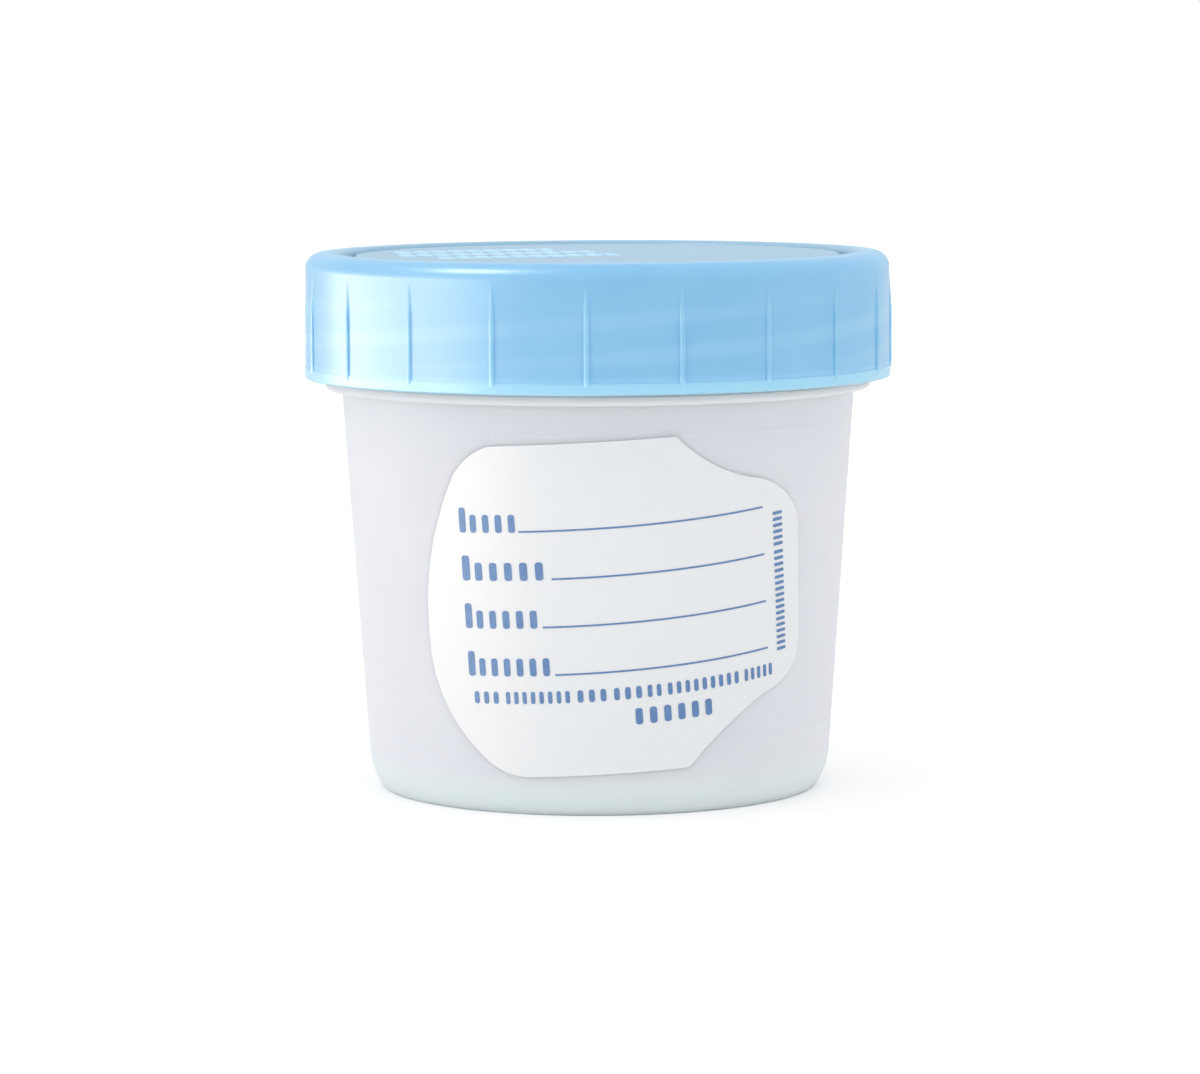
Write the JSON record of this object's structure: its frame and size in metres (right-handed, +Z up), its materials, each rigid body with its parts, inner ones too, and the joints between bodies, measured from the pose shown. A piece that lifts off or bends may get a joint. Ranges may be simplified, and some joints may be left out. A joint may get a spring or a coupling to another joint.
{
  "type": "specimen container",
  "caption": "Translucent specimen cup with a blue screw lid, an interrupted four-start thread, a moulded plug seal and a tilted die-cut label.",
  "frame": {"origin": "on the table, under the middle of the cup", "axes": "+Z up along the axis of cup and lid, -Y towards the label side, +X to the right seen from the label side"},
  "size_m": [0.0702, 0.0702, 0.064],
  "materials": {
    "cup_plastic": "translucent natural polypropylene, smooth",
    "lid_plastic": "translucent light blue polypropylene, smooth",
    "film": "clear self-adhesive film",
    "label_white": "white, semi-matte"
  },
  "bodies": {
    "cup": {"cup": "cup_plastic", "label_film": "film", "label": "label_white"},
    "lid": {"lid": "lid_plastic"}
  },
  "joints": [
    {"name": "lid_lift", "type": "slide", "parent": "cup", "child": "lid", "axis": [0, 0, 1], "range_m": [0, 0.03]}
  ]
}
